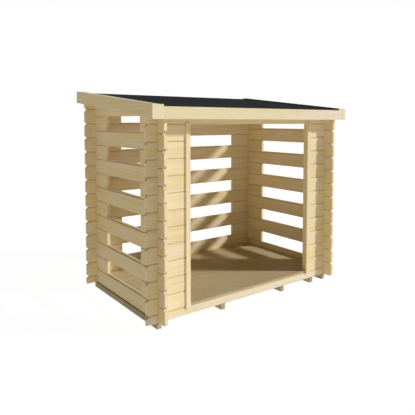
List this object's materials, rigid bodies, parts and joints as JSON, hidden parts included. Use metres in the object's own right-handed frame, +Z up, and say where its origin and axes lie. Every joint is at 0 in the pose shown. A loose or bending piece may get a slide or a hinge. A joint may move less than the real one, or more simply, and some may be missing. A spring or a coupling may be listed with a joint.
{
  "type": "open log store",
  "caption": "Open-fronted firewood store: interlocking log walls with air gaps, a floor on bearers, grooved posts at the mouth and a felted pent roof.",
  "frame": {"origin": "on the ground, under the middle of the walls and of the roof", "axes": "+X to the right along the open front, +Y from the front to the back wall, +Z up"},
  "size_m": [2.236, 1.47, 1.9177],
  "materials": {
    "log_timber": "planed bare spruce",
    "trim_timber": "planed bare spruce boards",
    "floor_timber": "planed bare spruce boards",
    "roof_boarding": "planed bare spruce boards",
    "treated_timber": "sawn, pressure-treated",
    "roof_felt": "bitumen felt with mineral grit"
  },
  "bodies": {
    "root": {"back_bottom_log": "log_timber", "back_fascia": "trim_timber", "back_long_logs": "log_timber", "back_top_log": "log_timber", "bearers": "treated_timber", "floor_deck": "floor_timber", "floor_joists": "floor_timber", "front_fascia": "trim_timber", "front_lintel_log": "log_timber", "front_sill_log": "log_timber", "left_back_stubs": "log_timber", "left_bargeboard": "trim_timber", "left_front_lower_stubs": "log_timber", "left_front_upper_stubs": "log_timber", "left_jamb": "trim_timber", "left_roof_corner_boards": "trim_timber", "left_roof_edge_strip": "trim_timber", "left_wall_back_stubs": "log_timber", "left_wall_front_stubs": "log_timber", "left_wall_gable_wedge": "log_timber", "left_wall_long_logs": "log_timber", "left_wall_top_log": "log_timber", "right_back_stubs": "log_timber", "right_bargeboard": "trim_timber", "right_front_lower_stubs": "log_timber", "right_front_upper_stubs": "log_timber", "right_jamb": "trim_timber", "right_roof_corner_boards": "trim_timber", "right_roof_edge_strip": "trim_timber", "right_wall_back_stubs": "log_timber", "right_wall_front_stubs": "log_timber", "right_wall_gable_wedge": "log_timber", "right_wall_long_logs": "log_timber", "right_wall_top_log": "log_timber", "roof_deck": "roof_boarding", "roof_felt": "roof_felt"}
  },
  "joints": []
}
